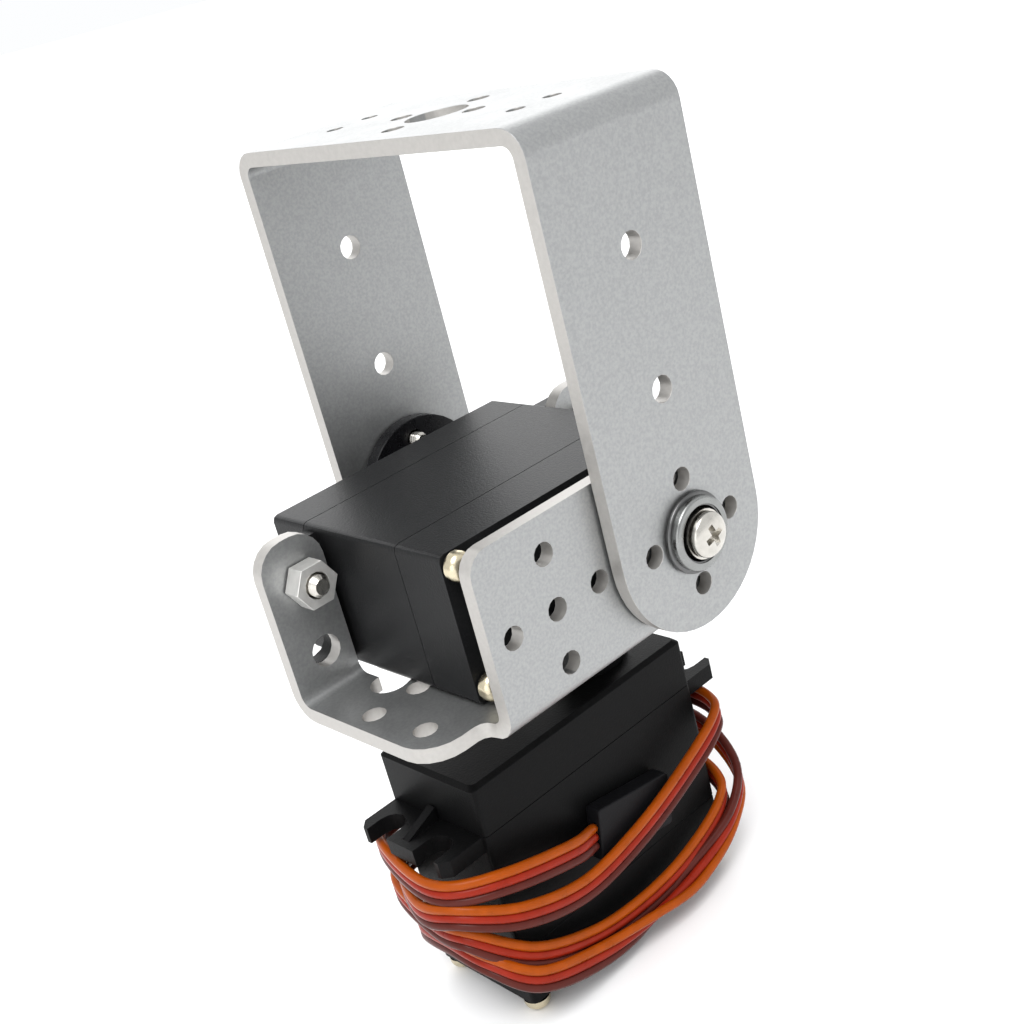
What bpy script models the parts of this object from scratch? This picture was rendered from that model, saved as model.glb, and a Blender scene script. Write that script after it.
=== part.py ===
"""Pan and tilt unit: two hobby servos, a multi-function bracket and a U bracket.

The origin is the bottom centre of the unit's bounding box, on the surface that it stands on.
Everything is placed from the pan axis, and sizes are in millimetres.
"""

from math import cos, pi, radians, sin

import bmesh
import bpy

MM = 0.001
GAP = 0.3

# Places of the pan axis, of the two servos and of the tilt axis
PAN_X, PAN_Y = 10.6, -0.35
PAN_BOTTOM_Z = 2.2
TILT_Z = 62.5
TILT_BOTTOM_Y = -17.6

# Servo, in its own frame: z runs from the case bottom along the output axis at x = 0
BODY_X0, BODY_X1 = -30.9, 10.3
BODY_HALF = 10.0
CASE_TOP = 35.6
LOWER_SPLIT = 8.6
UPPER_SPLIT = 28.0
WALL = 1.2
POST = 4.2
SCREW_INSET = 1.95
EAR_REACH = 6.7
EAR_LOW = 25.5
EAR_HALF = 9.2
EAR_HOLE_REACH = 4.2
EAR_SLOT_Y = 5.0
EAR_SLOT_R = 2.2
DECK_LOW, DECK_HIGH = 21.9, 23.4
PAN_STAND_OFF = 12.4
TILT_STAND_OFF = 9.8

# Gears
GEAR_MODULE = 0.8
WHEEL_TEETH = 18
PINION_TEETH = 8
GEAR_PITCH = (WHEEL_TEETH + PINION_TEETH) * GEAR_MODULE / 2
SHAFT_R = 1.5
BOSS_R = 6.6
SPLINE_R = 2.95

# Horns and the hole pattern that they share with the brackets
HORN_R = 10.3
HORN_DISC = 2.2
HORN_HUB_R = 4.6
PATTERN_R = 7.2
PATTERN_HOLE_R = 1.5
CENTRE_HOLE_R = 3.4

# Brackets
SHEET = 2.0
BEND_R = 3.5
U_WIDTH = 25.4
U_NEAR_Y, U_FAR_Y = -27.5, 29.8
U_HEIGHT = 53.8
U_ARM_HOLES = (19.0, 36.7)
BASE_TOP = 52.2
BASE_X0, BASE_X1 = -41.2, 20.0
LOBE_Y = -20.0
TAB_Y = 5.6
TAB_WIDTH = 9.4
TAB_TOP = 11.3
SIDE_Y = -25.1
SIDE_X0, SIDE_X1 = -32.6, 8.4
SIDE_TOP = 11.9
SIDE_PATTERN_X = -21.8
TAB_HOLE_X = 25.1
TAB_HOLE_Z = 5.0
LOBE_R = 5.0
LOBE_HOLES = ((-38.1, -5.3), (-37.4, -14.6))
RELIEF_X, RELIEF_Y, RELIEF_R = -32.0, -0.8, 2.6
NOTCH_X = -28.2

# Pivot
BEARING_R = 4.8
BEARING_BORE = 3.5
BEARING_PROUD = 1.5
PIVOT_R = 1.5

# Lead, wound round the pan servo
COIL_Z0, COIL_Z1 = 2.5, 27.3

BLACK = ("servo_black", (0.030, 0.031, 0.033), 0.45, 0.0)
HORN_BLACK = ("horn_black", (0.020, 0.020, 0.021), 0.40, 0.0)
ALUMINIUM = ("satin_aluminium", (0.72, 0.72, 0.71), 0.38, 1.0)
BRASS = ("brass_screw", (0.70, 0.58, 0.36), 0.30, 1.0)
STEEL = ("nickel_steel", (0.62, 0.61, 0.58), 0.25, 1.0)
CHROME = ("chrome_bearing", (0.75, 0.75, 0.75), 0.12, 1.0)
GEAR_BRASS = ("gear_brass", (0.66, 0.50, 0.22), 0.35, 1.0)
GREEN = ("circuit_green", (0.02, 0.16, 0.06), 0.45, 0.0)
MOTOR_GREY = ("motor_can", (0.50, 0.50, 0.50), 0.35, 1.0)
ORANGE = ("lead_orange", (0.75, 0.16, 0.02), 0.30, 0.0)


def clear_scene():
    for obj in list(bpy.data.objects):
        bpy.data.objects.remove(obj, do_unlink=True)


def material(look):
    name, colour, roughness, metallic = look
    found = bpy.data.materials.get(name)
    if found:
        return found
    made = bpy.data.materials.new(name)
    made.use_nodes = True
    shader = made.node_tree.nodes["Principled BSDF"]
    shader.inputs["Base Color"].default_value = (*colour, 1.0)
    shader.inputs["Roughness"].default_value = roughness
    shader.inputs["Metallic"].default_value = metallic
    return made


def empty(name, location, rotation=(0.0, 0.0, 0.0), parent=None):
    made = bpy.data.objects.new(name, None)
    made.parent = parent
    made.location = [v * MM for v in location]
    made.rotation_euler = rotation
    bpy.context.scene.collection.objects.link(made)
    return made


def add(name, bm, look, parent=None, location=(0.0, 0.0, 0.0), smooth=False):
    """Turns the mesh into a named object; location is in millimetres under the parent."""
    bmesh.ops.recalc_face_normals(bm, faces=bm.faces)
    mesh = bpy.data.meshes.new(name)
    bm.to_mesh(mesh)
    bm.free()
    made = bpy.data.objects.new(name, mesh)
    if look:
        mesh.materials.append(material(look))
    if smooth:
        mesh.shade_smooth()
        mesh.set_sharp_from_angle(angle=radians(35))
    made.parent = parent or bpy.data.objects["unit"]
    made.location = [v * MM for v in location]
    bpy.context.scene.collection.objects.link(made)
    return made


def helper(name, bm, target, operation):
    """A hidden object that a Boolean joins to or cuts from the target."""
    made = add(name, bm, None, target.parent, [v / MM for v in target.location])
    made.hide_render = True
    made.display_type = "WIRE"
    modifier = target.modifiers.new(name, "BOOLEAN")
    modifier.operation = operation
    modifier.solver = "EXACT"
    modifier.object = made
    return made


# Outlines


def arc(x, y, r, start, end, steps):
    """Points of an arc, ends included; angles in degrees."""
    angles = [radians(start + (end - start) * i / steps) for i in range(steps + 1)]
    return [(x + r * cos(a), y + r * sin(a)) for a in angles]


def circle(x, y, r, steps=16):
    return arc(x, y, r, 0, 360, steps)[:-1]


def rounded_box(x0, x1, y0, y1, r, steps=3):
    return (
        arc(x1 - r, y0 + r, r, -90, 0, steps)
        + arc(x1 - r, y1 - r, r, 0, 90, steps)
        + arc(x0 + r, y1 - r, r, 90, 180, steps)
        + arc(x0 + r, y0 + r, r, 180, 270, steps)
    )


def rectangle(x0, x1, y0, y1):
    return [(x0, y0), (x1, y0), (x1, y1), (x0, y1)]


def gear_outline(teeth):
    """Straight-sided teeth, thinner than their gaps. A pinion has a tooth on the x axis, a wheel a gap."""
    pitch_r = teeth * GEAR_MODULE / 2
    root_r, tip_r = pitch_r - 1.1 * GEAR_MODULE, pitch_r + 0.75 * GEAR_MODULE
    step = 2 * pi / teeth
    start = step / 2 if teeth == WHEEL_TEETH else 0.0
    points = []
    for tooth in range(teeth):
        middle = start + tooth * step
        tooth_shape = ((root_r, -0.26), (tip_r, -0.09), (tip_r, 0.09), (root_r, 0.26))
        for r, share in tooth_shape:
            points.append((r * cos(middle + share * step), r * sin(middle + share * step)))
    return points


# Solids


def ring(bm, loop, z):
    return [bm.verts.new((x * MM, y * MM, z * MM)) for x, y in loop]


def wall(bm, lower, upper):
    for i in range(len(lower)):
        j = (i + 1) % len(lower)
        bm.faces.new((lower[i], lower[j], upper[j], upper[i]))


def cap(bm, *rings):
    """Fills the flat area between an outer ring and the rings inside it."""
    edges = []
    for verts in rings:
        for a, b in zip(verts, verts[1:] + verts[:1]):
            edges.append(bm.edges.get((a, b)) or bm.edges.new((a, b)))
    bmesh.ops.triangle_fill(bm, edges=edges, use_beauty=True)


def stack(layers, bores=(), blind=None):
    """Prisms (outline, low, high) piled along z, with holes right through or one blind from the top."""
    bm = bmesh.new()
    bottom = [ring(bm, bore, layers[0][1]) for bore in bores]
    upper = None
    for outline, low, high in layers:
        lower = ring(bm, outline, low)
        cap(bm, lower, *(bottom if upper is None else [upper]))
        upper = ring(bm, outline, high)
        wall(bm, lower, upper)
    top = [ring(bm, bore, layers[-1][2]) for bore in bores]
    for lower, higher in zip(bottom, top):
        wall(bm, lower, higher)
    if blind:
        outline, floor = blind
        mouth, end = ring(bm, outline, layers[-1][2]), ring(bm, outline, floor)
        wall(bm, end, mouth)
        cap(bm, end)
        top.append(mouth)
    cap(bm, upper, *top)
    return bm


def plate(outline, low, high, holes=()):
    return stack([(outline, low, high)], holes)


def join(*parts):
    """Puts several meshes into one."""
    made = bmesh.new()
    for part in parts:
        scratch = bpy.data.meshes.new("scratch")
        part.to_mesh(scratch)
        part.free()
        made.from_mesh(scratch)
        bpy.data.meshes.remove(scratch)
    bmesh.ops.recalc_face_normals(made, faces=made.faces)
    return made


def turned(profile, steps=20):
    """Turns a profile of (radius, z) about z. It starts and ends on the axis, or closes on itself."""
    bm = bmesh.new()
    rings = []
    for r, z in profile:
        if r == 0:
            rings.append([bm.verts.new((0, 0, z * MM))])
        else:
            rings.append(ring(bm, circle(0, 0, r, steps), z))
    pairs = list(zip(rings, rings[1:]))
    if profile[0][0] != 0:
        pairs.append((rings[-1], rings[0]))
    for a, b in pairs:
        for i in range(steps):
            j = (i + 1) % steps
            corners = [a[i % len(a)], a[j % len(a)], b[j % len(b)], b[i % len(b)]]
            unique = list(dict.fromkeys(corners))
            bm.faces.new(unique)
    return bm


def turn(bm, axis):
    """Turns a mesh made along z so that it points along +Y or -Y."""
    angle = {"+Y": -pi / 2, "-Y": pi / 2}[axis]
    for v in bm.verts:
        x, y, z = v.co
        v.co = (x, y * cos(angle) - z * sin(angle), y * sin(angle) + z * cos(angle))
    return bm


def shift(bm, x, y, z):
    bmesh.ops.translate(bm, verts=bm.verts, vec=(x * MM, y * MM, z * MM))
    return bm


def along_x(profile, x0, x1):
    """A profile of (y, z) run along x."""
    bm = plate(profile, x0, x1)
    for v in bm.verts:
        v.co = (v.co.z, v.co.x, v.co.y)
    return bm


def along_y(outline, y0, y1, holes=()):
    """An outline of (x, z) run along y."""
    bm = plate(outline, y0, y1, holes)
    for v in bm.verts:
        v.co = (v.co.x, v.co.z, v.co.y)
    return bm


# Servo


def cavity_outline():
    """The inside of the case, with a square post left in each corner."""
    x0, x1, h = BODY_X0 + WALL, BODY_X1 - WALL, BODY_HALF - WALL
    p = POST - WALL
    points = []
    for x, y, sx, sy in ((x1, -h, -1, 1), (x1, h, -1, -1), (x0, h, 1, -1), (x0, -h, 1, 1)):
        corner = [(x + sx * p, y), (x + sx * p, y + sy * p), (x, y + sy * p)]
        points += corner if sx * sy < 0 else corner[::-1]
    return points


def body_outline():
    return rounded_box(BODY_X0, BODY_X1, -BODY_HALF, BODY_HALF, 0.8, 2)


def screw_places():
    xs = (BODY_X0 + SCREW_INSET, BODY_X1 - SCREW_INSET)
    ys = (BODY_HALF - SCREW_INSET, SCREW_INSET - BODY_HALF)
    return [(x, y) for x in xs for y in ys]


def screw_holes():
    return [circle(x, y, 1.1, 8) for x, y in screw_places()]


def case_bottom():
    """A tray with four screw holes through its posts."""
    bm = bmesh.new()
    floor, rim = 1.4, LOWER_SPLIT - GAP
    outer_low, outer_high = ring(bm, body_outline(), 0), ring(bm, body_outline(), rim)
    inner_low, inner_high = ring(bm, cavity_outline(), floor), ring(bm, cavity_outline(), rim)
    holes_low = [ring(bm, hole, 0) for hole in screw_holes()]
    holes_high = [ring(bm, hole, rim) for hole in screw_holes()]
    wall(bm, outer_low, outer_high)
    wall(bm, inner_low, inner_high)
    for low, high in zip(holes_low, holes_high):
        wall(bm, low, high)
    cap(bm, outer_low, *holes_low)
    cap(bm, inner_low)
    cap(bm, outer_high, inner_high, *holes_high)
    return bm


def case_middle():
    """A tube with a deck across it that carries the gears."""
    bm = bmesh.new()
    low, rim = LOWER_SPLIT, UPPER_SPLIT - GAP
    outer = [ring(bm, body_outline(), z) for z in (low, rim)]
    under = [ring(bm, cavity_outline(), z) for z in (low, DECK_LOW)]
    over = [ring(bm, cavity_outline(), z) for z in (DECK_HIGH, rim)]
    deck_holes = [
        circle(-2 * GEAR_PITCH, 0, 3.2),
        circle(-GEAR_PITCH, 0, 1.1, 12),
        circle(0, 0, 2.5),
    ]
    through = [[ring(bm, hole, z) for z in (DECK_LOW, DECK_HIGH)] for hole in deck_holes]
    posts = [[ring(bm, hole, z) for z in (low, rim)] for hole in screw_holes()]
    for pair in [outer, under, over] + through + posts:
        wall(bm, *pair)
    cap(bm, outer[0], under[0], *[pair[0] for pair in posts])
    cap(bm, outer[1], over[1], *[pair[1] for pair in posts])
    cap(bm, under[1], *[pair[0] for pair in through])
    cap(bm, over[0], *[pair[1] for pair in through])
    return bm


def case_top():
    """A cap with a stepped boss that seats the output bearing."""
    bm = bmesh.new()
    low, roof, seat, boss = UPPER_SPLIT, CASE_TOP - WALL, CASE_TOP + 0.5, CASE_TOP + 1.1
    outer = [ring(bm, body_outline(), z) for z in (low, CASE_TOP - 0.6)]
    rim = rounded_box(BODY_X0 + 0.6, BODY_X1 - 0.6, 0.6 - BODY_HALF, BODY_HALF - 0.6, 0.8, 2)
    edge = ring(bm, rim, CASE_TOP)
    inner = [ring(bm, cavity_outline(), z) for z in (low, roof)]
    holes = [[ring(bm, hole, z) for z in (low, low + 3.8)] for hole in screw_holes()]
    rise = [ring(bm, circle(0, 0, BOSS_R), z) for z in (CASE_TOP, boss)]
    bore = [ring(bm, circle(0, 0, 5.3), z) for z in (roof, seat)]
    lip = [ring(bm, circle(0, 0, 4.3), z) for z in (seat, boss)]
    for pair in [outer, inner, rise, bore, lip, [outer[1], edge]] + holes:
        wall(bm, *pair)
    cap(bm, outer[0], inner[0], *[pair[0] for pair in holes])
    for pair in holes:
        cap(bm, pair[1])
    cap(bm, edge, rise[0])
    cap(bm, rise[1], lip[1])
    cap(bm, bore[1], lip[0])
    cap(bm, inner[1], bore[0])
    return bm


def ear(mirror):
    """An ear with two open slots; the mirrored one is at the other end of the body."""
    root, tip = BODY_X0 + 0.9, BODY_X0 - EAR_REACH
    slot_x = BODY_X0 - EAR_HOLE_REACH
    outline = [(root, -EAR_HALF), (tip + 1.2, -EAR_HALF), (tip, 1.2 - EAR_HALF)]
    for y in (-EAR_SLOT_Y, EAR_SLOT_Y):
        outline.append((tip, y - EAR_SLOT_R))
        outline += arc(slot_x, y, EAR_SLOT_R, -90, 90, 6)
        outline.append((tip, y + EAR_SLOT_R))
    outline += [(tip, EAR_HALF - 1.2), (tip + 1.2, EAR_HALF), (root, EAR_HALF)]
    if mirror:
        outline = [(BODY_X0 + BODY_X1 - x, y) for x, y in outline[::-1]]
    return plate(outline, EAR_LOW, UPPER_SPLIT - GAP)


def ear_rib(mirror):
    """A small wedge that stiffens the ear."""
    root, tip, low = BODY_X0 - GAP, BODY_X0 - 5.6, UPPER_SPLIT - GAP - 0.6
    profile = [(root, low), (root, low + 2.9), (tip, low + 0.7), (tip, low)]
    if mirror:
        profile = [(BODY_X0 + BODY_X1 - x, z) for x, z in profile[::-1]]
    return along_y(profile, -0.7, 0.7)


def double_gear(low, small_side, bore_r):
    """A wheel with a pinion on top of it."""
    wheel, pinion = gear_outline(WHEEL_TEETH), gear_outline(PINION_TEETH)
    layers = [(wheel, low, low + 1.3), (pinion, low + 1.3, low + 1.3 + small_side)]
    return stack(layers, [circle(0, 0, bore_r, 12)])


def output_gear(top):
    """The last wheel, its lower shaft into the potentiometer and its splined head."""
    low = 29.7
    layers = [
        (circle(0, 0, SHAFT_R, 16), 13.6, low),
        (gear_outline(WHEEL_TEETH), low, low + 2.2),
        (circle(0, 0, 3.8, 16), low + 2.2, CASE_TOP + 1.3),
        (spline_outline(), CASE_TOP + 1.3, top),
    ]
    return stack(layers, blind=(circle(0, 0, 1.5, 12), top - 5.6))


def spline_outline():
    points = []
    for i in range(25):
        a = 2 * pi * i / 25
        points.append((SPLINE_R * cos(a), SPLINE_R * sin(a)))
        points.append(((SPLINE_R - 0.25) * cos(a + pi / 25), (SPLINE_R - 0.25) * sin(a + pi / 25)))
    return points


def pan_head(shank_r, length, head_r, head):
    """A screw with its head's underside at z = 0 and its shank along -z."""
    dome = [(head_r, 0.0), (head_r, head * 0.45), (head_r * 0.8, head * 0.85)]
    dome += [(head_r * 0.4, head), (0, head)]
    return turned([(0, -length), (shank_r, -length), (shank_r, 0.0)] + dome, 16)


def horn(low, high, roof):
    """A disc with a hub under it, four pattern holes and a bore for the spline."""
    bore = SPLINE_R + 0.3
    bm = bmesh.new()
    hub = [ring(bm, circle(0, 0, HORN_HUB_R, 24), z) for z in (low, high - HORN_DISC)]
    disc = [ring(bm, circle(0, 0, HORN_R, 40), z) for z in (high - HORN_DISC, high)]
    step = high - roof
    inner = [ring(bm, circle(0, 0, bore), z) for z in (low, step)]
    mouth = [ring(bm, circle(0, 0, 1.6, 16), z) for z in (step, high)]
    quarters = (0, pi / 2, pi, 3 * pi / 2)
    spots = [circle(PATTERN_R * cos(a), PATTERN_R * sin(a), 1.4, 10) for a in quarters]
    holes = [[ring(bm, spot, z) for z in (high - HORN_DISC, high)] for spot in spots]
    for pair in [hub, disc, inner, mouth] + holes:
        wall(bm, *pair)
    cap(bm, hub[0], inner[0])
    cap(bm, disc[0], hub[1], *[pair[0] for pair in holes])
    cap(bm, disc[1], mouth[1], *[pair[1] for pair in holes])
    cap(bm, inner[1], mouth[0])
    return bm


def servo(name, location, rotation, stand_off):
    """One complete servo; stand_off is from the case top to the plate that the horn carries."""
    base = empty(name + "_servo", location, rotation, bpy.data.objects["unit"])
    horn_top = CASE_TOP + stand_off - GAP
    spline_top = horn_top - 1.3

    add_case(name, base)
    add_drive(name, base, spline_top)
    add(name + "_horn", horn(CASE_TOP + 1.6, horn_top, 1.0), HORN_BLACK, base, smooth=True)
    screw = shift(pan_head(1.2, 6.3, 2.8, 1.7), 0, 0, horn_top + GAP)
    add(name + "_horn_screw", screw, STEEL, base, smooth=True)
    return base


def add_case(name, base):
    bottom = add(name + "_case_bottom", case_bottom(), BLACK, base)
    mouth = plate(rectangle(BODY_X1 - 2.2, BODY_X1 + 1, -3.5, 3.5), 3.4, 7.4)
    helper(name + "_lead_mouth", mouth, bottom, "DIFFERENCE")
    middle = add(name + "_case_middle", case_middle(), BLACK, base)
    helper(name + "_ears", join(ear(False), ear(True)), middle, "UNION")
    helper(name + "_ear_ribs", join(ear_rib(False), ear_rib(True)), middle, "UNION")
    add(name + "_case_top", case_top(), BLACK, base)
    for i, (x, y) in enumerate(screw_places()):
        screw = turned_over(pan_head(0.8, 31.8, 1.9, 1.9))
        add(f"{name}_case_screw_{i + 1}", screw, BRASS, base, (x, y, -GAP), smooth=True)
    block = plate(rounded_box(-3.2, 3.2, 3.7, 7.1, 1.2), BODY_X1 - 1.8, BODY_X1 + 3.6)
    for v in block.verts:
        v.co = (v.co.z, v.co.x, v.co.y)
    add(name + "_strain_relief", block, BLACK, base)


def turned_over(bm):
    """Turns a mesh made along +z so that it points along -z."""
    for v in bm.verts:
        v.co = (v.co.x, -v.co.y, -v.co.z)
    return bm


def add_drive(name, base, spline_top):
    """Motor, gears, output shaft, feedback and control board."""
    motor_x, pin_x = -2 * GEAR_PITCH, -GEAR_PITCH
    can = [
        (0, 4.4), (7.4, 4.4), (7.4, 21.5), (2.9, 21.5),
        (2.9, 22.6), (1.1, 22.6), (1.1, 17.0), (0, 17.0),
    ]
    add(name + "_motor", turned(can, 24), MOTOR_GREY, base, (motor_x, 0, 0), smooth=True)
    shaft = stack([(circle(0, 0, 0.75, 10), 17.6, 23.8), (gear_outline(PINION_TEETH), 23.8, 25.6)])
    add(name + "_motor_pinion", shaft, GEAR_BRASS, base, (motor_x, 0, 0))
    add(name + "_gear_1", double_gear(24.0, 2.1, 1.1), GEAR_BRASS, base, (pin_x, 0, 0))
    add(name + "_gear_2", double_gear(25.8, 2.1, SHAFT_R + 0.3), GEAR_BRASS, base)
    add(name + "_gear_3", double_gear(27.8, 2.9, 1.1), GEAR_BRASS, base, (pin_x, 0, 0))
    add(name + "_output_gear", output_gear(spline_top), GEAR_BRASS, base)
    pin = plate(circle(0, 0, 0.8, 10), 22.1, 33.9)
    add(name + "_gear_pin", pin, STEEL, base, (pin_x, 0, 0))
    low, high = CASE_TOP - 1.7, CASE_TOP + 0.2
    bearing = [(4.1, low), (5.0, low), (5.0, high), (4.1, high)]
    add(name + "_output_bearing", turned(bearing, 24), CHROME, base, smooth=True)
    pot = plate(circle(0, 0, 6.0, 20), 12.6, 19.2, [circle(0, 0, SHAFT_R + 0.3, 16)])
    add(name + "_potentiometer", pot, MOTOR_GREY, base)
    board = plate(rounded_box(-25.8, 5.7, -8.0, 8.0, 0.8), 1.8, 3.0)
    add(name + "_control_board", board, GREEN, base)


# Brackets


def u_profile():
    """The bent strip seen along x: up the near arm, over the top and down the far arm."""
    r_in = BEND_R - SHEET
    near, far, top, low = U_NEAR_Y, U_FAR_Y, U_HEIGHT, -U_WIDTH / 2 - 1
    outside = arc(far - BEND_R, top - BEND_R, BEND_R, 0, 90, 6)
    outside += arc(near + BEND_R, top - BEND_R, BEND_R, 90, 180, 6)
    inside = arc(near + BEND_R, top - BEND_R, r_in, 180, 90, 6)
    inside += arc(far - BEND_R, top - BEND_R, r_in, 90, 0, 6)
    feet = [(near, low), (near + SHEET, low)]
    return [(far, low)] + outside + feet + inside + [(far - SHEET, low)]


def pattern(x, z, hole_r=PATTERN_HOLE_R):
    """Four holes round a centre."""
    angles = (0, pi / 2, pi, 3 * pi / 2)
    return [circle(x + PATTERN_R * cos(a), z + PATTERN_R * sin(a), hole_r, 14) for a in angles]


def add_u_bracket():
    """Built about the tilt axis, which is its origin."""
    half = U_WIDTH / 2
    strip = along_x(u_profile(), -half, half)
    bracket = add("u_bracket", strip, ALUMINIUM, None, (0, 0, TILT_Z), smooth=True)
    below = -half - 2
    ends = [(-half - 1, 0)] + arc(0, 0, half, 180, 360, 24)
    ends += [(half + 1, 0), (half + 1, below), (-half - 1, below)]
    helper("u_round_ends", along_y(ends, U_NEAR_Y - 1, U_FAR_Y + 1), bracket, "DIFFERENCE")
    arms = pattern(0, 0) + [circle(0, z, 1.7, 14) for z in U_ARM_HOLES]
    cuts = [along_y(hole, y - 1, y + SHEET + 1) for hole in arms for y in (U_NEAR_Y, U_FAR_Y - SHEET)]
    cuts.append(along_y(circle(0, 0, 4.2, 20), U_NEAR_Y - 1, U_NEAR_Y + SHEET + 1))
    cuts.append(along_y(circle(0, 0, CENTRE_HOLE_R, 20), U_FAR_Y - SHEET - 1, U_FAR_Y + 1))
    middle = (U_NEAR_Y + U_FAR_Y) / 2
    top = [circle(0, middle, 4.2, 20)]
    top += [circle(x, middle + y, 1.5, 14) for x, y in ((7.2, 0), (-7.2, 0), (0, 7.2), (0, -7.2))]
    top += [circle(x, middle + y, 1.2, 12) for y in (-18.0, 18.0) for x in (-3.0, 3.0)]
    cuts += [plate(hole, U_HEIGHT - SHEET - 1, U_HEIGHT + 1) for hole in top]
    helper("u_holes", join(*cuts), bracket, "DIFFERENCE")


def base_outline():
    """The base plate from above: a lobe at each end, and the side plate's flange between them."""
    back = TAB_Y + SHEET
    foot = back - BEND_R
    left_tab = BASE_X0 + TAB_WIDTH
    left = arc(SIDE_X0 - 1.6, LOBE_Y - 1.6, 1.6, 0, 90, 3)
    left += arc(BASE_X0 + LOBE_R, LOBE_Y + LOBE_R, LOBE_R, 270, 180, 5)
    left += [(BASE_X0, foot), (left_tab, foot)]
    left += arc(RELIEF_X, RELIEF_Y, RELIEF_R, 85.6, 285, 14)
    left += [(NOTCH_X, RELIEF_Y - 1.6), (NOTCH_X, back)]
    right_tab = BASE_X1 - TAB_WIDTH
    right = [(right_tab - 1.2, back), (right_tab - 1.2, foot - 1.5)]
    right += [(right_tab, foot - 1.5), (right_tab, foot)]
    right += [(BASE_X1, foot)] + arc(BASE_X1 - LOBE_R, LOBE_Y + LOBE_R, LOBE_R, 360, 270, 5)
    right += [(SIDE_X1, LOBE_Y), (SIDE_X1, SIDE_Y + BEND_R), (SIDE_X0, SIDE_Y + BEND_R)]
    return left + right


def bent_up(y_out, direction, top):
    """A plate bent up from the base, seen along x; y_out is its outer face, direction its inside."""
    r_in = BEND_R - SHEET
    under = BASE_TOP - SHEET
    centre_y, centre_z = y_out + direction * BEND_R, under + BEND_R
    points = [(centre_y + direction, under)]
    for a in bend_angles():
        points.append((centre_y - direction * BEND_R * sin(a), centre_z - BEND_R * cos(a)))
    points += [(y_out, top), (y_out + direction * SHEET, top)]
    for a in reversed(bend_angles()):
        points.append((centre_y - direction * r_in * sin(a), centre_z - r_in * cos(a)))
    points.append((centre_y + direction, BASE_TOP))
    return points


def bend_angles():
    return [pi / 2 * i / 5 for i in range(6)]


def add_multi_bracket():
    holes = [circle(0, 0, CENTRE_HOLE_R, 20)]
    holes += [circle(x, 0, 1.5, 14) for x in (-PATTERN_R, PATTERN_R)]
    for x, y in LOBE_HOLES:
        holes += [circle(x, y, 1.6, 14), circle(BASE_X0 + BASE_X1 - x, y, 1.6, 14)]
    holes.append(circle(-31.2, -5.7, 1.6, 14))
    base = plate(base_outline(), BASE_TOP - SHEET, BASE_TOP, holes)
    bracket = add("multi_bracket", base, ALUMINIUM)
    side = along_x(bent_up(SIDE_Y, 1, TILT_Z + SIDE_TOP), SIDE_X0, SIDE_TOP)
    helper("side_plate", side, bracket, "UNION")
    tab_profile = bent_up(TAB_Y + SHEET, -1, TILT_Z + TAB_TOP)
    tabs = [
        along_x(tab_profile, BASE_X0, BASE_X0 + TAB_WIDTH),
        along_x(tab_profile, BASE_X1 - TAB_WIDTH, BASE_X1),
    ]
    helper("tabs", join(*tabs), bracket, "UNION")
    helper("bracket_corners", join(*corner_cuts()), bracket, "DIFFERENCE")
    helper("bracket_holes", join(*bracket_holes()), bracket, "DIFFERENCE")


def corner_cuts():
    """Rounds the side plate's ends and the tabs' corners."""
    top, r = TILT_Z + SIDE_TOP, 3.0
    high, low = top + 1, BASE_TOP - SHEET - 1
    left = [(SIDE_X0 - 1, top - r)] + arc(SIDE_X0 + r, top - r, r, 180, 90, 5)
    left += [(SIDE_X0 + r, high), (SIDE_X0 - 1, high)]
    right = [(0, high)] + arc(0, TILT_Z, SIDE_TOP, 90, -45, 14)
    right += [(SIDE_X1, low), (SIDE_TOP + 1, low), (SIDE_TOP + 1, high)]
    cuts = [along_y(outline, SIDE_Y - 1, LOBE_Y - 0.3) for outline in (left, right)]
    tab_top, tr = TILT_Z + TAB_TOP, 4.0
    edges = [(BASE_X0, 1), (BASE_X0 + TAB_WIDTH, -1), (BASE_X1 - TAB_WIDTH, 1), (BASE_X1, -1)]
    for x, way in edges:
        outline = [(x - way, tab_top - tr)]
        for a in reversed(bend_angles()):
            outline.append((x + way * (tr - tr * sin(a)), tab_top - tr + tr * cos(a)))
        outline += [(x + way * tr, tab_top + 1), (x - way, tab_top + 1)]
        cuts.append(along_y(outline, TAB_Y - 1, TAB_Y + SHEET + 1))
    return cuts


def bracket_holes():
    middle = (BASE_X0 + BASE_X1) / 2
    side = pattern(SIDE_PATTERN_X, TILT_Z) + pattern(0, TILT_Z)
    side += [circle(SIDE_PATTERN_X, TILT_Z, PATTERN_HOLE_R, 14), circle(0, TILT_Z, 1.8, 14)]
    cuts = [along_y(hole, SIDE_Y - 1, SIDE_Y + SHEET + 1) for hole in side]
    for x in (middle - TAB_HOLE_X, middle + TAB_HOLE_X):
        for z in (TILT_Z - TAB_HOLE_Z, TILT_Z + TAB_HOLE_Z):
            cuts.append(along_y(circle(x, z, 2.15, 16), TAB_Y - 1, TAB_Y + SHEET + 1))
    return cuts


# Fasteners


def hex_nut(across, height, bore_r):
    corner_r = across / 2 / cos(pi / 6)
    return plate(circle(0, 0, corner_r, 6), 0, height, [circle(0, 0, bore_r, 14)])


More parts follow.
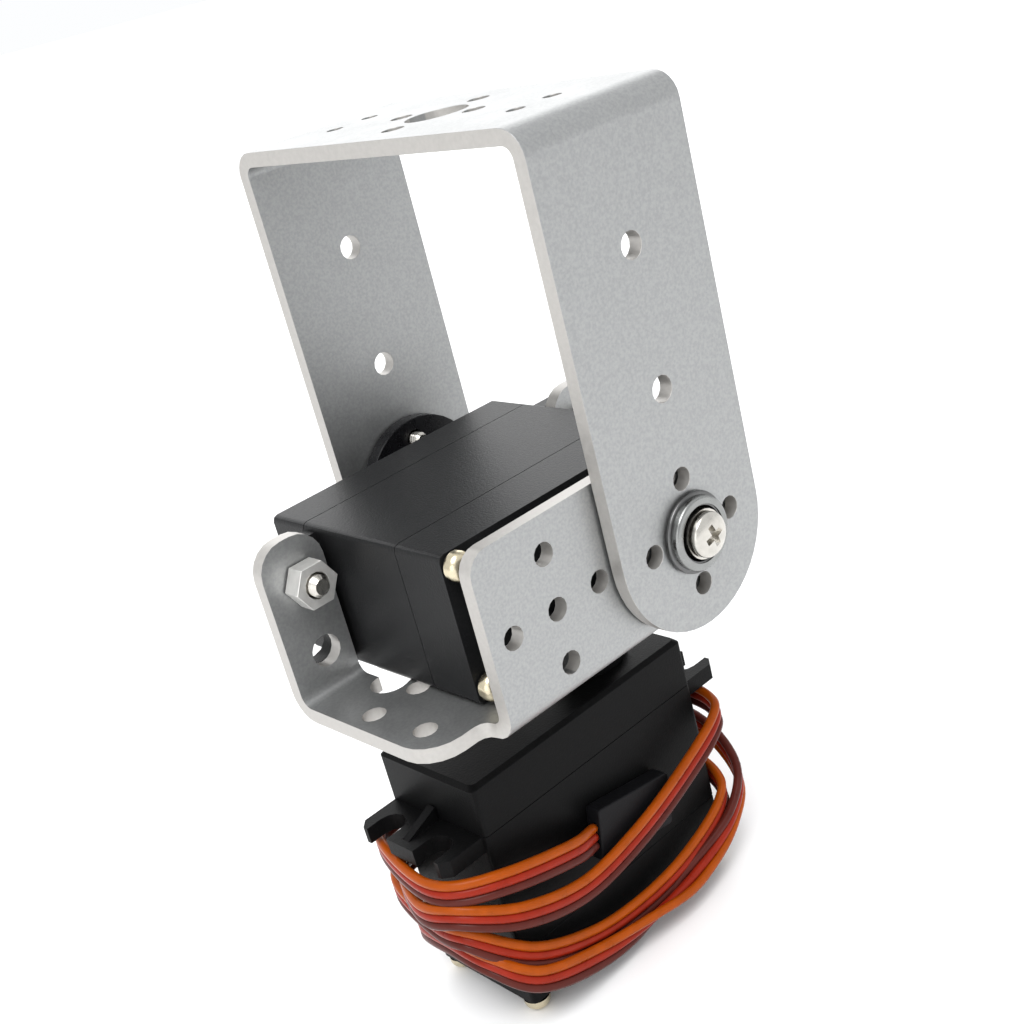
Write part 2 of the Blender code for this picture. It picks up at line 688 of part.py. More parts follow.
def add_tab_fasteners():
    """A screw through the tilt servo's ear and the tab at each end, with its nut in front."""
    middle = (BASE_X0 + BASE_X1) / 2
    ear_back = TILT_BOTTOM_Y + UPPER_SPLIT - GAP
    nut_y = TAB_Y - GAP
    for side, x in (("left", middle - TAB_HOLE_X), ("right", middle + TAB_HOLE_X)):
        length = ear_back + GAP - nut_y + 3.9
        screw = turn(pan_head(1.45, length, 2.8, 1.9), "+Y")
        place = (x, ear_back + GAP, TILT_Z + TAB_HOLE_Z)
        add(f"tab_screw_{side}", screw, STEEL, None, place, smooth=True)
        nut = turn(hex_nut(5.5, 2.8, 1.75), "-Y")
        add(f"tab_nut_{side}", nut, STEEL, None, (x, nut_y, TILT_Z + TAB_HOLE_Z))


def add_plate_screws():
    """Two screws for each horn: from under the disc at the pan, from outside the arm at the tilt."""
    disc_low = PAN_BOTTOM_Z + CASE_TOP + PAN_STAND_OFF - GAP - HORN_DISC
    for i, x in enumerate((-PATTERN_R, PATTERN_R)):
        screw = turned_over(pan_head(1.1, HORN_DISC + SHEET + 2 * GAP, 2.0, 1.5))
        add(f"pan_plate_screw_{i + 1}", screw, STEEL, None, (x, 0, disc_low - GAP), smooth=True)
    for i, z in enumerate((PATTERN_R, -PATTERN_R)):
        screw = turn(pan_head(1.1, SHEET + HORN_DISC + 2.4, 2.4, 1.7), "+Y")
        place = (0, U_FAR_Y + GAP, TILT_Z + z)
        add(f"tilt_plate_screw_{i + 1}", screw, STEEL, None, place, smooth=True)


def add_pivot():
    """Flanged bearing in the near arm, its screw and the nut behind the side plate."""
    face = -U_NEAR_Y + GAP
    front = face + BEARING_PROUD
    outer = [
        (BEARING_BORE, face - 1.9), (3.9, face - 1.9), (3.9, face), (5.3, face), (5.3, face + 0.5),
        (BEARING_R, face + 0.5), (BEARING_R, front - 0.3), (BEARING_R - 0.3, front),
        (BEARING_BORE, front),
    ]
    bearing = turn(turned(outer, 32), "-Y")
    add("pivot_bearing_outer", bearing, CHROME, None, (0, 0, TILT_Z), smooth=True)
    race_r, race_end = BEARING_BORE - GAP, front + 0.2
    inner = [(1.8, -SIDE_Y + GAP), (race_r, -SIDE_Y + GAP), (race_r, race_end), (1.8, race_end)]
    race = turn(turned(inner, 24), "-Y")
    add("pivot_bearing_inner", race, STEEL, None, (0, 0, TILT_Z), smooth=True)
    head_y = race_end + GAP
    length = head_y + SIDE_Y + SHEET + 3.2
    screw = shift(turn(pan_head(PIVOT_R, length, 2.9, 1.3), "-Y"), 0, -head_y, 0)
    add("pivot_screw", screw, STEEL, None, (0, 0, TILT_Z), smooth=True)
    nut = turn(hex_nut(5.5, 2.2, 1.8), "+Y")
    add("pivot_nut", nut, STEEL, None, (0, SIDE_Y + SHEET + GAP, TILT_Z))


# Lead


def add_lead():
    """The wound lead as one band round the pan servo, and the connector that lies under it."""
    outer = rounded_box(-41.0, 20.2, -16.6, 14.6, 10.0, 6)
    inner = rounded_box(-31.6, 15.6, -13.4, 10.8, 3.0, 4)
    add("lead_coil", plate(outer, COIL_Z0, COIL_Z1, [inner]), ORANGE)
    connector = plate(rounded_box(-7.0, 7.0, -4.0, 4.0, 0.5, 2), -1.3, 1.3)
    made = add("lead_connector", connector, BLACK, None, (-7.9, -11.6, 19.5))
    made.rotation_euler = (radians(90), radians(9.5), 0)


def build():
    clear_scene()
    empty("unit", (PAN_X, PAN_Y, 0))
    servo("pan", (0, 0, PAN_BOTTOM_Z), (0, 0, 0), PAN_STAND_OFF)
    servo("tilt", (0, TILT_BOTTOM_Y, TILT_Z), (-pi / 2, 0, 0), TILT_STAND_OFF)
    add_multi_bracket()
    add_u_bracket()
    add_tab_fasteners()
    add_plate_screws()
    add_pivot()
    add_lead()


build()
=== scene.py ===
"""Detailed model of the pan and tilt unit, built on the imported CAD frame. Sizes are in millimetres."""

from math import cos, pi, radians, sin

import bmesh
import bpy
from mathutils import Matrix, Quaternion, Vector


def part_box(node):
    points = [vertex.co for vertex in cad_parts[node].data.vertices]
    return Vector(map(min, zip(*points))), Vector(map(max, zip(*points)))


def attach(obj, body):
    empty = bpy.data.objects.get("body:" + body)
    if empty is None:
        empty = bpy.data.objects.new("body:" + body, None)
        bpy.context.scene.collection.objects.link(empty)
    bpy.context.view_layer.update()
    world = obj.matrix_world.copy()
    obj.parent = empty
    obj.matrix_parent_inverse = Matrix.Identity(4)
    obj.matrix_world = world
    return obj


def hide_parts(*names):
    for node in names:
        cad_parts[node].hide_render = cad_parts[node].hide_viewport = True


MM = 0.001
PAN_X, PAN_Y = 10.6, -0.35
TILT_Z = 62.5
PAN_BOTTOM_Z, TILT_BOTTOM_Y = 2.2, -17.6

# Heights of the cases' rims above the case bottom, and how far each closes its joint
RIMS = {"case_bottom": 8.3, "case_middle": 27.7}
SEAM_CLOSED = 0.2

# Camera: where it looks, from how far, and its angles in degrees
LOOK_AT = (18.73, 31.61, 47.78)
DISTANCE = 238.14
AZIMUTH, ELEVATION, ROLL = -37.40, 21.88, -14.85
LENS = 50.75
SENSOR_WIDTH = 36.0

FLOOR_RADIUS = 30.0
LIGHTS_AIM = (0.0, 0.0, 0.06)

# Lead: a flat ribbon of three wires
WIRE_R = 0.68
WIRE_STEP = 1.28
WIRE_SIDES = 10


def at(x, y, z):
    """A point given from the pan axis, in metres in the frame's own coordinates."""
    return Vector(((x + PAN_X) * MM, (y + PAN_Y) * MM, z * MM))


# Stage, lights and camera


def make_camera():
    """A camera at the given distance and angles, rolled about its line of sight."""
    a, e, r = radians(AZIMUTH), radians(ELEVATION), radians(ROLL)
    out = Vector((sin(a) * cos(e), -cos(a) * cos(e), sin(e)))
    data = bpy.data.cameras.new("camera")
    data.lens = LENS
    data.sensor_width = SENSOR_WIDTH
    data.clip_start = 0.01
    camera = bpy.data.objects.new("camera", data)
    right = (-out).cross(Vector((0, 0, 1))).normalized()
    up = right.cross(-out)
    side = right * cos(r) + up * sin(r)
    top = up * cos(r) - right * sin(r)
    turn = Matrix((side, top, out)).transposed().to_4x4()
    camera.matrix_world = Matrix.Translation(at(*LOOK_AT) + out * DISTANCE * MM) @ turn
    bpy.context.scene.collection.objects.link(camera)
    bpy.context.scene.camera = camera


def area_light(name, place, size, power):
    """A round white light that points at the middle of the unit; sizes in metres and watts."""
    data = bpy.data.lights.new(name, "AREA")
    data.shape = "DISK"
    data.size = size
    data.energy = power
    lamp = bpy.data.objects.new(name, data)
    lamp.location = place
    lamp.rotation_euler = (Vector(LIGHTS_AIM) - Vector(place)).to_track_quat("-Z", "Y").to_euler()
    bpy.context.scene.collection.objects.link(lamp)


def sun(name, towards, strength, spread):
    """Even soft light that travels along the direction given."""
    data = bpy.data.lights.new(name, "SUN")
    data.energy = strength
    data.angle = radians(spread)
    lamp = bpy.data.objects.new(name, data)
    lamp.rotation_euler = Vector(towards).to_track_quat("-Z", "Y").to_euler()
    bpy.context.scene.collection.objects.link(lamp)


def make_stage():
    bpy.context.scene.view_settings.view_transform = "Standard"
    world = bpy.data.worlds.new("studio")
    world.use_nodes = True
    background = world.node_tree.nodes["Background"]
    background.inputs["Color"].default_value = (0.98, 0.99, 1.0, 1)
    background.inputs["Strength"].default_value = 1.0
    bpy.context.scene.world = world
    bm = bmesh.new()
    bmesh.ops.create_circle(bm, cap_ends=True, segments=96, radius=FLOOR_RADIUS)
    floor = new_object("floor", bm)
    floor.data.materials.append(
        plain_material("floor_paper", (0.92, 0.92, 0.92), 0.9, grain=60, bump=0.02, variation=0.01)
    )
    sun("overhead", (0.25, 0.20, -1.0), 1.0, 40)
    area_light("key", (-0.35, -0.30, 0.75), 0.45, 3.0)
    area_light("fill", (-0.70, -0.35, 0.20), 0.6, 1.0)
    area_light("back", (0.50, 0.65, 0.42), 0.90, 2.9)


# Materials

ROUGHNESS_SPREAD = 0.08


def plain_material(name, colour, roughness, grain, bump, variation, metallic=0.0, coat=0.0, shine=0.5):
    """A surface with fine grain: noise moves its colour, roughness and height a little."""
    made = bpy.data.materials.new(name)
    made.use_nodes = True
    nodes, links = made.node_tree.nodes, made.node_tree.links
    shader = nodes["Principled BSDF"]
    shader.inputs["Metallic"].default_value = metallic
    shader.inputs["Specular IOR Level"].default_value = shine
    shader.inputs["Coat Weight"].default_value = coat
    shader.inputs["Coat Roughness"].default_value = 0.12
    place = nodes.new("ShaderNodeTexCoord")
    noise = nodes.new("ShaderNodeTexNoise")
    noise.inputs["Scale"].default_value = grain
    noise.inputs["Detail"].default_value = 6
    links.new(place.outputs["Object"], noise.inputs["Vector"])
    ramp = nodes.new("ShaderNodeValToRGB")
    dark, light = ramp.color_ramp.elements
    dark.position = 0.3
    light.position = 0.7
    dark.color = (*[c * (1 - variation) for c in colour], 1)
    light.color = (*[c * (1 + variation) for c in colour], 1)
    links.new(noise.outputs["Fac"], ramp.inputs["Fac"])
    links.new(ramp.outputs["Color"], shader.inputs["Base Color"])
    spread = nodes.new("ShaderNodeMapRange")
    spread.inputs["To Min"].default_value = roughness - ROUGHNESS_SPREAD
    spread.inputs["To Max"].default_value = roughness + ROUGHNESS_SPREAD
    links.new(noise.outputs["Fac"], spread.inputs["Value"])
    links.new(spread.outputs["Result"], shader.inputs["Roughness"])
    height = nodes.new("ShaderNodeBump")
    height.inputs["Strength"].default_value = bump
    height.inputs["Distance"].default_value = 0.0002
    links.new(noise.outputs["Fac"], height.inputs["Height"])
    links.new(height.outputs["Normal"], shader.inputs["Normal"])
    return made


def metal(name, colour, roughness, grain=900, bump=0.10, variation=0.10, metallic=1.0):
    """Bare or plated metal with faint tool marks."""
    return plain_material(name, colour, roughness, grain, bump, variation, metallic)


def plastic(name, colour, roughness, grain, bump, shine):
    """Black moulded plastic with a fine matte texture."""
    return plain_material(name, colour, roughness, grain, bump, 0.15, shine=shine)


def wire(name, colour, variation=0.10):
    """Smooth wire insulation with a slight gloss."""
    return plain_material(name, colour, 0.30, 500, 0.05, variation, coat=0.03, shine=0.12)


def make_materials():
    return {
        "aluminium": sheet_material(),
        "cut_edge": metal("cut_edge", (0.44, 0.425, 0.405), 0.42, 1600, 0.15, 0.05, metallic=0.6),
        "servo": plastic("servo_plastic", (0.0090, 0.0092, 0.0098), 0.40, 3500, 0.20, 0.16),
        # The pan servo's plastic is a copy of servo_plastic at half the brightness and with less shine:
        # painted shade for the lower servo, which sits under the bracket
        "painted_shade_servo": plastic("painted_shade_servo", (0.0045, 0.0045, 0.0047), 0.42, 3500, 0.20, 0.07),
        "connector": plastic("connector_plastic", (0.006, 0.006, 0.007), 0.48, 2500, 0.15, 0.12),
        "horn": plain_material("horn_plastic", (0.006, 0.006, 0.007), 0.28, 900, 0.05, 0.10, shine=0.25),
        "board": plain_material("circuit_board", (0.02, 0.16, 0.06), 0.45, 700, 0.10, 0.20),
        "brass": metal("pale_brass", (0.62, 0.55, 0.40), 0.24, bump=0.08),
        "nickel": metal("nickel", (0.55, 0.53, 0.49), 0.24),
        "nut": metal("nut_steel", (0.78, 0.77, 0.74), 0.38, variation=0.06, metallic=0.8),
        "chrome": metal("bearing_steel", (0.27, 0.275, 0.27), 0.26, 700, 0.04, 0.06),
        "dark_steel": metal("dark_steel", (0.13, 0.13, 0.13), 0.30, 700, 0.06),
        "gear": metal("gear_brass", (0.66, 0.50, 0.22), 0.35),
        "can": metal("motor_can", (0.50, 0.50, 0.50), 0.38, variation=0.08),
        "orange": wire("wire_orange", (0.32, 0.056, 0.002)),
        "red": wire("wire_red", (0.25, 0.017, 0.006)),
        "brown": wire("wire_brown", (0.080, 0.015, 0.011), variation=0.12),
    }


def sheet_material():
    """Satin aluminium sheet: faint blotches, a fine speckle and a shallow grain."""
    made = metal("satin_aluminium", (0.365, 0.37, 0.368), 0.42, 220, 0.08, 0.02, metallic=0.84)
    nodes, links = made.node_tree.nodes, made.node_tree.links
    shader = nodes["Principled BSDF"]
    place = next(n for n in nodes if n.type == "TEX_COORD")
    ramp = next(n for n in nodes if n.type == "VALTORGB")
    speck = nodes.new("ShaderNodeTexNoise")
    speck.inputs["Scale"].default_value = 2600
    speck.inputs["Detail"].default_value = 3
    links.new(place.outputs["Object"], speck.inputs["Vector"])
    speck_ramp = nodes.new("ShaderNodeValToRGB")
    dark, light = speck_ramp.color_ramp.elements
    dark.position = 0.35
    dark.color = (0.87, 0.87, 0.88, 1)
    light.position = 0.65
    links.new(speck.outputs["Fac"], speck_ramp.inputs["Fac"])
    mix = nodes.new("ShaderNodeMix")
    mix.data_type = "RGBA"
    mix.blend_type = "MULTIPLY"
    mix.inputs["Factor"].default_value = 1.0
    links.new(ramp.outputs["Color"], mix.inputs["A"])
    links.new(speck_ramp.outputs["Color"], mix.inputs["B"])
    links.new(mix.outputs["Result"], shader.inputs["Base Color"])
    bump = next(n for n in nodes if n.type == "BUMP")
    fine = nodes.new("ShaderNodeBump")
    fine.inputs["Strength"].default_value = 0.18
    fine.inputs["Distance"].default_value = 0.00008
    links.new(speck.outputs["Fac"], fine.inputs["Height"])
    links.new(bump.outputs["Normal"], fine.inputs["Normal"])
    links.new(fine.outputs["Normal"], shader.inputs["Normal"])
    return made


# Mesh helpers

# Distances in metres: points this near are one point, and points this near a rim's level are on it
WELD = 0.000002
ON_RIM = 0.00003


def new_object(name, bm):
    mesh = bpy.data.meshes.new(name)
    bm.to_mesh(mesh)
    bm.free()
    made = bpy.data.objects.new(name, mesh)
    bpy.context.scene.collection.objects.link(made)
    return made


def smooth_below(piece, degrees):
    """Smooth shading, with edges sharper than the angle left sharp."""
    piece.data.shade_smooth()
    piece.data.set_sharp_from_angle(angle=radians(degrees))


def finish_piece(piece, body, materials, node):
    """Gives a piece its materials, puts it on the body it rides and hides the CAD node it replaces."""
    for look in materials:
        piece.data.materials.append(look)
    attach(piece, body)
    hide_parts(node)
    return piece


def cleaned_copy(frame, node):
    """The CAD node's mesh with its flat faces whole again, ready for a bevel."""
    bm = bmesh.new()
    bm.from_mesh(frame["nodes"][node].data)
    bmesh.ops.remove_doubles(bm, verts=bm.verts, dist=WELD)
    bmesh.ops.dissolve_limit(
        bm, angle_limit=radians(1.0), verts=bm.verts, edges=bm.edges, use_dissolve_boundaries=False
    )
    bm.normal_update()
    return bm


def softened(frame, node, body, materials, width, pick=None, seam=None):
    """The CAD node's shape with rounded edges. pick gives a face its material number.

    seam is (direction, level in metres): the flat rim at that level moves out to all but close a joint.
    """
    bm = cleaned_copy(frame, node)
    if seam:
        direction, level = Vector(seam[0]), seam[1]
        for vert in bm.verts:
            if abs(vert.co.dot(direction) - level) < ON_RIM:
                vert.co += direction * SEAM_CLOSED * MM
    for face in bm.faces:
        face.material_index = pick(face) if pick else 0
    piece = new_object(node + "_body", bm)
    bevel = piece.modifiers.new("edges", "BEVEL")
    bevel.width = width * MM
    bevel.segments = 3
    bevel.limit_method = "ANGLE"
    bevel.angle_limit = radians(32)
    piece.data.shade_smooth()
    weighted = piece.modifiers.new("normals", "WEIGHTED_NORMAL")
    weighted.keep_sharp = True
    return finish_piece(piece, body, materials, node)


def turned(profile, steps):
    """Turns a closed profile of (radius, z) about z; it may start and end on the axis."""
    bm = bmesh.new()
    rings = []
    for r, z in profile:
        if r == 0:
            rings.append([bm.verts.new((0, 0, z * MM))])
        else:
            angles = [2 * pi * i / steps for i in range(steps)]
            rings.append([bm.verts.new((r * cos(a) * MM, r * sin(a) * MM, z * MM)) for a in angles])
    pairs = list(zip(rings, rings[1:]))
    if profile[0][0] != 0:
        pairs.append((rings[-1], rings[0]))
    for a, b in pairs:
        for i in range(steps):
            j = (i + 1) % steps
            corners = [a[i % len(a)], a[j % len(a)], b[j % len(b)], b[i % len(b)]]
            bm.faces.new(list(dict.fromkeys(corners)))
    bmesh.ops.recalc_face_normals(bm, faces=bm.faces)
    return bm


def arc_points(cx, cz, r, start, end, steps):
    angles = [radians(start + (end - start) * i / steps) for i in range(steps + 1)]
    return [(cx + r * cos(a), cz + r * sin(a)) for a in angles]


def aimed(axis):
    """Turns a shape made along +z to point along the axis."""
    return Vector((0, 0, 1)).rotation_difference(Vector(axis)).to_matrix().to_4x4()


# Screws, nuts and the bearing

# Screws: shank radius, length, head radius and head height
CASE_SCREW = (0.8, 31.8, 1.9, 1.9)
PIVOT_SCREW = (1.5, 9.9, 2.9, 1.3)
TAB_SCREW = (1.45, 9.0, 2.8, 1.9)
TILT_PLATE_SCREW = (1.1, 6.6, 2.4, 1.7)
PAN_PLATE_SCREW = (1.1, 4.8, 2.0, 1.5)
TILT_HORN_SCREW = (1.2, 6.3, 2.8, 1.7)
THREAD_PITCH = 0.5
THREAD_ROOT = 0.90


def screw_profile(shank_r, length, head_r, head_h):
    """Half outline of a ridged shank under a domed head, with z up through the head and 0 under it."""
    rim = 0.30 * head_h
    dome_angles = [pi / 2 * i / 10 for i in range(1, 10)]
    dome = [(head_r, 0), (head_r, rim)]
    dome += [(head_r * cos(a), rim + (head_h - rim) * sin(a)) for a in dome_angles]
    thread_start = -length + shank_r * 0.4
    shank = [(0, -length), (shank_r * 0.7, -length), (shank_r, thread_start)]
    count = min(60, int(length / (THREAD_PITCH / 2)))
    for i in range(1, count):
        shank.append((shank_r * (THREAD_ROOT if i % 2 else 1.0), thread_start * (1 - i / count)))
    shank.append((shank_r, 0))
    return shank + dome + [(0, head_h)]


def cross_cutter(width, depth, head_h):
    """A cross for a screw head: two blades that narrow downwards from just above the head."""
    bm = bmesh.new()
    for turn in (0, pi / 2):
        wide, narrow, half = width / 2, width / 4, width * 0.13
        top, low = head_h + 0.5, head_h - depth
        corners = []
        for w, z, t in ((wide * 1.2, top, half * 1.2), (narrow, low, half * 0.7)):
            for x, y in ((-w, -t), (w, -t), (w, t), (-w, t)):
                spun = (x * cos(turn) - y * sin(turn), x * sin(turn) + y * cos(turn))
                corners.append(bm.verts.new((spun[0] * MM, spun[1] * MM, z * MM)))
        for i in range(4):
            j = (i + 1) % 4
            bm.faces.new((corners[i], corners[j], corners[4 + j], corners[4 + i]))
        bm.faces.new(corners[:4])
        bm.faces.new(corners[4:])
    bmesh.ops.recalc_face_normals(bm, faces=bm.faces)
    return bm


def head_seat(node, axis, head_h):
    """The point under a screw's head, from its CAD node's box and the way its head faces."""
    low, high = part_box(node)
    seat = (low + high) / 2
    along = [abs(part) for part in axis].index(1)
    seat[along] = low[along] + head_h * MM if axis[along] < 0 else high[along] - head_h * MM
    return seat


def screw_piece(node, body, look, axis, sizes, spin):
    """A cross-head screw whose head faces along the axis, turned by spin in radians."""
    head_r, head_h = sizes[2:]
    cross = cross_cutter(head_r * 1.15, head_h * 0.75, head_h)
    piece = new_object(node + "_body", turned(screw_profile(*sizes), 40))
    self_cut(piece, new_object("cutter", cross))
    piece.data.transform(Matrix.Rotation(spin, 4, "Z"))
    piece.data.transform(aimed(axis))
    piece.data.transform(Matrix.Translation(head_seat(node, axis, head_h)))
    smooth_below(piece, 38)
    finish_piece(piece, body, [look], node)


def self_cut(piece, cutter):
    """Cuts with a cutter whose arms cross each other."""
    modifier = piece.modifiers.new("cut", "BOOLEAN")
    modifier.operation = "DIFFERENCE"
    modifier.solver = "EXACT"
    modifier.use_self = True
    modifier.object = cutter
    bpy.context.view_layer.update()
    graph = bpy.context.evaluated_depsgraph_get()
    cut = bpy.data.meshes.new_from_object(piece.evaluated_get(graph))
    piece.modifiers.remove(modifier)
    old = piece.data
    piece.data = cut
    bpy.data.meshes.remove(old)
    bpy.data.objects.remove(cutter, do_unlink=True)


# Lead

# Stations of one turn round the pan servo, from the left end along the front, right and back
STATIONS = [
    (-37.0, -1.5), (-36.4, -8.0), (-30.0, -12.2), (-20.0, -12.4), (-10.0, -12.6), (0.0, -12.4), (9.0, -12.0),
    (15.2, -9.4), (17.2, -1.5), (15.0, 9.2), (7.5, 12.2), (-8.0, 11.8), (-27.0, 12.2), (-33.4, 9.2),
]
# Beyond these, a turn's own reach draws its stations in towards the case
RIGHT_END, LEFT_END = 9.0, -33.4
# For each turn: how far out it lies, how far its right and left ends reach, and its height at each station
TURNS = [
    (1.3, 0.9, 0.2, (12.4, 12.0, 8.4, 4.8, 4.0, 4.9, 7.8, 12.0, 16.8, 18.4, 18.0, 17.6, 17.4, 17.0)),
    (-0.1, 0.5, 1.0, (16.5, 16.7, 11.3, 6.8, 5.6, 6.4, 9.6, 12.2, 14.0, 15.2, 16.4, 17.8, 19.2, 20.2)),
    (1.6, 0.45, 1.0, (20.7, 21.9, 19.3, 16.3, 17.6, 20.4, 24.0, 25.3, 25.2, 24.8, 24.3, 24.1, 24.5, 25.0)),
    (1.2, 1.0, 1.0, (25.2, 25.4, 24.9, 22.2)),
]
# Roll of the first turn where it lies with its other side up
TWIST = {4: 45, 5: 135, 6: 180, 7: 180, 8: 180, 9: 180, 10: 135, 11: 45}
# From the strain relief to the first turn, and the end that goes into the connector
START = [(13.9, 0.0, 7.6), (17.2, 0.6, 7.6), (18.6, 4.6, 7.3), (15.5, 9.6, 6.6), (6.0, 11.4, 6.3),
         (-8.0, 11.6, 6.7), (-27.0, 11.9, 8.3), (-33.2, 8.8, 9.9)]
END = [(-15.2, -12.0, 20.7)]


def turn_points():
    """The route's points and the ribbon's roll at each, in degrees."""
    points = [(*p, 90 if i == 0 else 0) for i, p in enumerate(START)]
    for number, (out, right_reach, left_reach, heights) in enumerate(TURNS):
        for index, (station, z) in enumerate(zip(STATIONS, heights)):
            x, y = station
            away = Vector(((x + 10.0) * 0.4, y + 0.4)).normalized()
            if x > RIGHT_END:
                x = RIGHT_END + (x - RIGHT_END) * right_reach
            if x < LEFT_END:
                x = LEFT_END + (x - LEFT_END) * left_reach
            roll = TWIST.get(index, 0) if number == 0 else 0
            points.append((x + away.x * out, y + away.y * out, z, roll))
    points += [(*p, 0) for p in END]
    return points


def smooth_route(points, steps=9):
    """A smooth curve through the points, with the roll carried along it."""
    rows = [Vector(p) for p in points]
    rows = [2 * rows[0] - rows[1]] + rows + [2 * rows[-1] - rows[-2]]
    made = []
    for a, b, c, d in zip(rows, rows[1:], rows[2:], rows[3:]):
        for i in range(steps):
            t = i / steps
            slope, bend, twist = c - a, 2 * a - 5 * b + 4 * c - d, 3 * b - a - 3 * c + d
            made.append(0.5 * (2 * b + slope * t + bend * t**2 + twist * t**3))
    made.append(rows[-2])
    return made


def wire_mesh(bm, centres, frames, offset, index):
    """One wire of the ribbon: a round tube beside the centre line."""
    angles = [2 * pi * i / WIRE_SIDES for i in range(WIRE_SIDES)]
    rings = []
    for centre, (wide, thick) in zip(centres, frames):
        middle = centre + wide * offset
        spots = [wide * WIRE_R * MM * cos(a) + thick * WIRE_R * MM * sin(a) for a in angles]
        rings.append([bm.verts.new(middle + spot) for spot in spots])
    for a, b in zip(rings, rings[1:]):
        for i in range(WIRE_SIDES):
            j = (i + 1) % WIRE_SIDES
            bm.faces.new((a[i], a[j], b[j], b[i])).material_index = index
    for end in (rings[0], rings[-1]):
        bm.faces.new(end).material_index = index


def ribbon_frames(route, centres):
    """For each point of the route, the ribbon's width and thickness directions."""
    frames = []
    for i, point in enumerate(route):
        along = (centres[min(i + 1, len(centres) - 1)] - centres[max(i - 1, 0)]).normalized()
        wide = Vector((0, 0, 1))
        wide = (wide - along * wide.dot(along)).normalized()
        wide = Quaternion(along, radians(point[3])) @ wide
        frames.append((wide, along.cross(wide)))
    return frames


def make_lead(frame, m):
    """The wound lead, with the connector and the strain relief at its ends."""
    connector = softened(frame, "lead_connector", "base", [m["connector"]], 0.25)
    # The pan strain relief takes the pan servo's darker plastic, painted shade
    relief = softened(frame, "pan_strain_relief", "base", [m["painted_shade_servo"]], 0.3)
    route = smooth_route(turn_points())
    centres = [at(p[0], p[1], p[2]) for p in route]
    frames = ribbon_frames(route, centres)
    bm = bmesh.new()
    for index, offset in enumerate((WIRE_STEP * MM, 0.0, -WIRE_STEP * MM)):
        wire_mesh(bm, centres, frames, offset, index)
    bmesh.ops.recalc_face_normals(bm, faces=bm.faces)
    lead = new_object("lead", bm)
    lead.data.shade_smooth()
    finish_piece(lead, "base", [m["orange"], m["red"], m["brown"]], "lead_coil")


# Detailed pieces

# Levels, in metres, below which the U bracket's arms are flat and above which the lower bracket's tabs are
U_BENDS_FROM = (TILT_Z + 53.8 - 3.5) * MM
BRACKET_BENDS_TO = 53.9 * MM
# The area of the largest face that belongs to a hole in the lower bracket's base plate, in square metres
LARGEST_HOLE_WALL = 30.0 * MM * MM


def is_cut_edge_of_u(face):
    """1 for a cut edge or a hole's wall of the U bracket, otherwise 0."""
    n = face.normal
    flat_side = abs(n.y) > 0.9
    if face.calc_center_median().z > U_BENDS_FROM:
        on_sheet = abs(n.x) < 0.3 and (abs(n.z) > 0.05 or flat_side)
        return 0 if on_sheet else 1
    return 0 if flat_side else 1


def is_cut_edge_of_bracket(face):
    """1 for a cut edge or a hole's wall of the multi-function bracket, otherwise 0."""
    n = face.normal
    if abs(n.x) > 0.3:
        return 1
    flat_side = abs(n.y) > 0.9
    if face.calc_center_median().z > BRACKET_BENDS_TO:
        return 0 if flat_side else 1
    upright = abs(n.z) < 0.05
    return 1 if flat_side and upright and face.calc_area() < LARGEST_HOLE_WALL else 0


def make_brackets(frame, m):
    sheet = [m["aluminium"], m["cut_edge"]]
    softened(frame, "u_bracket", "tilt_arm", sheet, 0.22, is_cut_edge_of_u)
    softened(frame, "multi_bracket", "platform", sheet, 0.22, is_cut_edge_of_bracket)


def make_servo_cases(frame, m):
    cases = (
        # The pan servo's case parts use the darker copy of the plastic, painted shade; the tilt servo's use
        # the plain one
        ("pan", "base", (0, 0, 1), PAN_BOTTOM_Z, m["painted_shade_servo"]),
        ("tilt", "platform", (0, 1, 0), TILT_BOTTOM_Y + PAN_Y, m["servo"]),
    )
    for servo, body, direction, bottom, look in cases:
        for part in ("case_bottom", "case_middle", "case_top"):
            seam = (direction, (bottom + RIMS[part]) * MM) if part in RIMS else None
            softened(frame, f"{servo}_{part}", body, [look], 0.2, None, seam)
    softened(frame, "tilt_strain_relief", "platform", [m["servo"]], 0.3)


def make_screws(m):
    for servo, body, axis in (("pan", "base", (0, 0, -1)), ("tilt", "platform", (0, -1, 0))):
        for i in range(1, 5):
            node = f"{servo}_case_screw_{i}"
            screw_piece(node, body, m["brass"], axis, CASE_SCREW, 0.5 * i)
    steel_screws = [("pivot_screw", "platform", (0, -1, 0), PIVOT_SCREW, 0.3)]
    for side in ("left", "right"):
        steel_screws.append((f"tab_screw_{side}", "platform", (0, 1, 0), TAB_SCREW, 0.2))
    for i in (1, 2):
        steel_screws.append((f"tilt_plate_screw_{i}", "tilt_arm", (0, 1, 0), TILT_PLATE_SCREW, 0.7))
        steel_screws.append((f"pan_plate_screw_{i}", "platform", (0, 0, -1), PAN_PLATE_SCREW, 0.4))
    steel_screws.append(("tilt_horn_screw", "tilt_arm", (0, 1, 0), TILT_HORN_SCREW, 0.1))
    for node, body, axis, sizes, spin in steel_screws:
        screw_piece(node, body, m["nickel"], axis, sizes, spin)


def make_nuts(frame, m):
    for node in ("tab_nut_left", "tab_nut_right", "pivot_nut"):
        softened(frame, node, "platform", [m["nut"]], 0.3)


# The bearing's flange lies on the arm's outer face, this far from the pan axis
ARM_FACE = 27.8
FLANGE_TOP = 0.50
RING_BORE, LIP_R = 3.55, 3.75


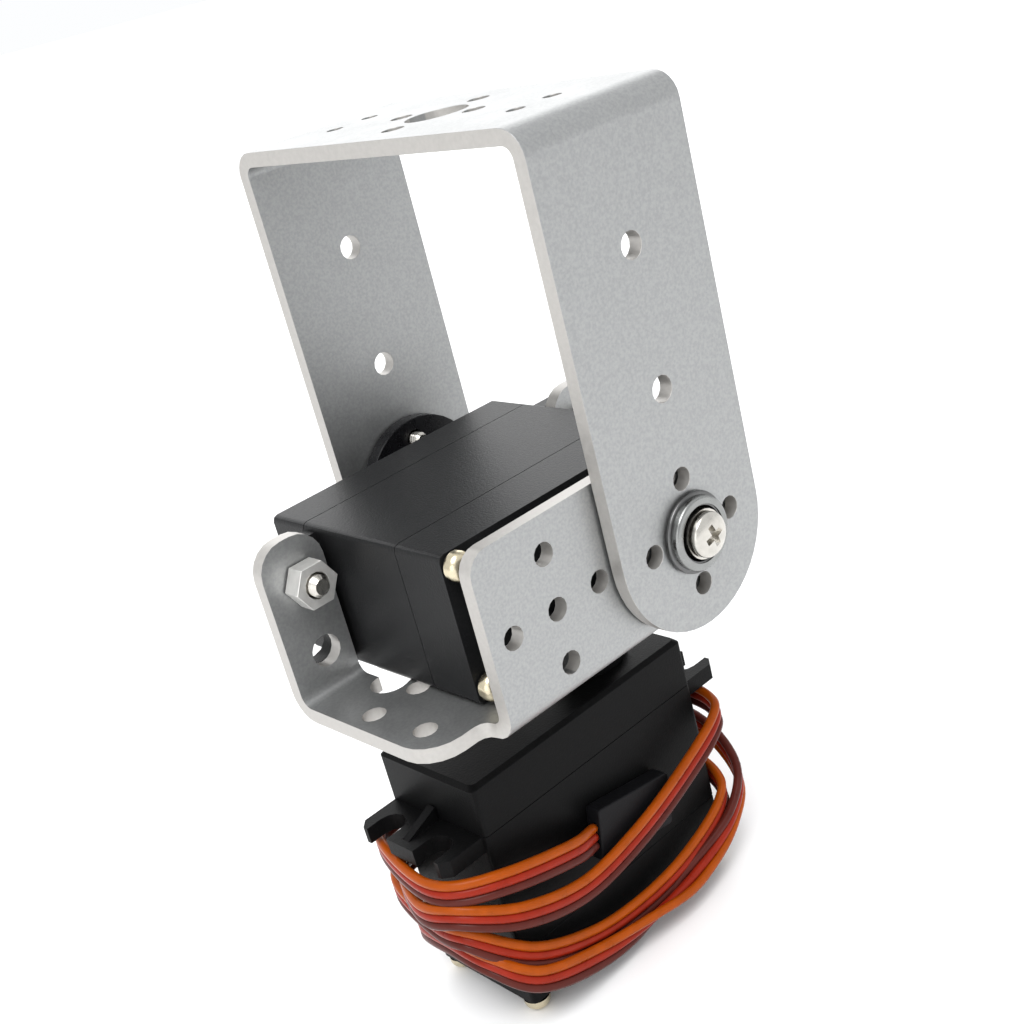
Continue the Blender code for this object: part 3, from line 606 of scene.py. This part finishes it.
def make_bearing(m):
    """The idle pivot's flanged bearing: dark flange, low ring with a rounded shoulder, recessed lip."""
    outer = [(RING_BORE, -1.85), (3.85, -1.85), (3.85, 0.02), (5.25, 0.02)]
    outer += arc_points(5.0, 0.22, 0.25, 0, 90, 4)
    outer += [(4.77, FLANGE_TOP)] + arc_points(4.37, 1.05, 0.4, 0, 90, 6)
    outer += [(LIP_R, 1.45), (3.72, 1.25), (RING_BORE, 1.22)]
    ring = new_object("pivot_bearing_outer_body", turned([(r, z + ARM_FACE) for r, z in outer], 64))
    for polygon in ring.data.polygons:
        x, y, z = polygon.center
        on_flange = z < (ARM_FACE + FLANGE_TOP + 0.02) * MM
        on_lip = Vector((x, y)).length < (LIP_R - 0.05) * MM
        polygon.material_index = 1 if on_flange or on_lip else 0
    ring.data.transform(aimed((0, -1, 0)))
    ring.data.transform(Matrix.Translation(at(0, 0, TILT_Z)))
    smooth_below(ring, 40)
    finish_piece(ring, "tilt_arm", [m["chrome"], m["dark_steel"]], "pivot_bearing_outer")


def make_horns(frame, m):
    softened(frame, "tilt_horn", "tilt_arm", [m["horn"]], 0.25)
    softened(frame, "pan_horn", "platform", [m["horn"]], 0.25)


def dress_the_rest(frame, m):
    """Materials for the CAD nodes that keep their own shape."""
    looks = {
        "motor_pinion": "gear", "gear_1": "gear", "gear_2": "gear", "gear_3": "gear", "output_gear": "gear",
        "gear_pin": "nickel", "output_bearing": "chrome", "motor": "can", "potentiometer": "can",
        "control_board": "board", "horn_screw": "nickel", "pivot_bearing_inner": "nickel",
    }
    for name, node in frame["nodes"].items():
        for ending, look in looks.items():
            if name.endswith(ending):
                node.data.materials.clear()
                node.data.materials.append(m[look])


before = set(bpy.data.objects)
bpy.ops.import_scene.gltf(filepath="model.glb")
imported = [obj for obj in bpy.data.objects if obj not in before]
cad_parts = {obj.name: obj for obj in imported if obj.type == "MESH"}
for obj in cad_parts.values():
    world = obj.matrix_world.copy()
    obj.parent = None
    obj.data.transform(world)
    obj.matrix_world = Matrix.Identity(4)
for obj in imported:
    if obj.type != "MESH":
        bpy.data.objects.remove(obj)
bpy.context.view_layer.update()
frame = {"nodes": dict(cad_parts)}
make_camera()
looks = make_materials()
make_lead(frame, looks)
make_stage()
make_brackets(frame, looks)
make_servo_cases(frame, looks)
make_screws(looks)
make_nuts(frame, looks)
make_bearing(looks)
make_horns(frame, looks)
dress_the_rest(frame, looks)
